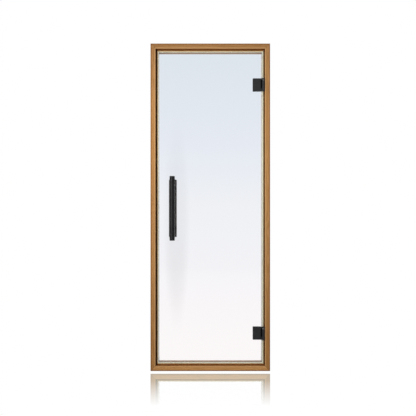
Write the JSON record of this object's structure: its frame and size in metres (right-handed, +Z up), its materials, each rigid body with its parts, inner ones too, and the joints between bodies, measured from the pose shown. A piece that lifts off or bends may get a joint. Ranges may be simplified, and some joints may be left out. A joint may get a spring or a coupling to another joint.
{
  "type": "framed glass sauna door",
  "caption": "Framed glass sauna door: mitred timber frame with a seal, one pane on two clamp hinges, and pull handles.",
  "frame": {"origin": "middle of the sill's base face, halfway through the frame's depth", "axes": "+Z up, +X to the right seen from outside, +Y from outside into the sauna"},
  "size_m": [0.69, 0.147, 1.89],
  "materials": {
    "frame_timber": "oiled",
    "silicone_seal": "matte",
    "black_hinge": "satin",
    "black_handle": "satin",
    "steel_screw": "satin",
    "steel_pin": "satin",
    "nylon": "matte",
    "black_gasket": "matte",
    "clear_glass": "polished",
    "dark_timber": "stained"
  },
  "bodies": {
    "frame": {"jamb_left": "frame_timber", "jamb_right": "frame_timber", "head_rail": "frame_timber", "sill_rail": "frame_timber", "seal_left": "silicone_seal", "seal_right": "silicone_seal", "seal_top": "silicone_seal", "seal_bottom": "silicone_seal", "upper_hinge_frame_leaf": "black_hinge", "upper_hinge_leaf_screws": "steel_screw", "upper_hinge_pin": "steel_pin", "upper_hinge_washer": "nylon", "lower_hinge_frame_leaf": "black_hinge", "lower_hinge_leaf_screws": "steel_screw", "lower_hinge_pin": "steel_pin", "lower_hinge_washer": "nylon"},
    "leaf": {"glass_pane": "clear_glass", "outer_handle_bar": "black_handle", "outer_handle_caps": "black_handle", "inner_handle_bar": "dark_timber", "outer_handle_upper_post": "black_handle", "outer_handle_lower_post": "black_handle", "inner_handle_upper_post": "black_handle", "inner_handle_lower_post": "black_handle", "handle_bolts": "steel_screw", "handle_bushes": "nylon", "handle_washers": "black_gasket", "upper_hinge_front_clamp": "black_hinge", "upper_hinge_back_clamp": "black_hinge", "upper_hinge_gaskets": "black_gasket", "upper_hinge_clamp_bolts": "steel_screw", "upper_hinge_bushes": "nylon", "lower_hinge_front_clamp": "black_hinge", "lower_hinge_back_clamp": "black_hinge", "lower_hinge_gaskets": "black_gasket", "lower_hinge_clamp_bolts": "steel_screw", "lower_hinge_bushes": "nylon"}
  },
  "joints": [
    {"name": "leaf_swing", "type": "hinge", "parent": "frame", "child": "leaf", "pos_m": [0.306, -0.047, 0.945], "axis": [0, 0, 1], "range_deg": [0, 170]}
  ]
}
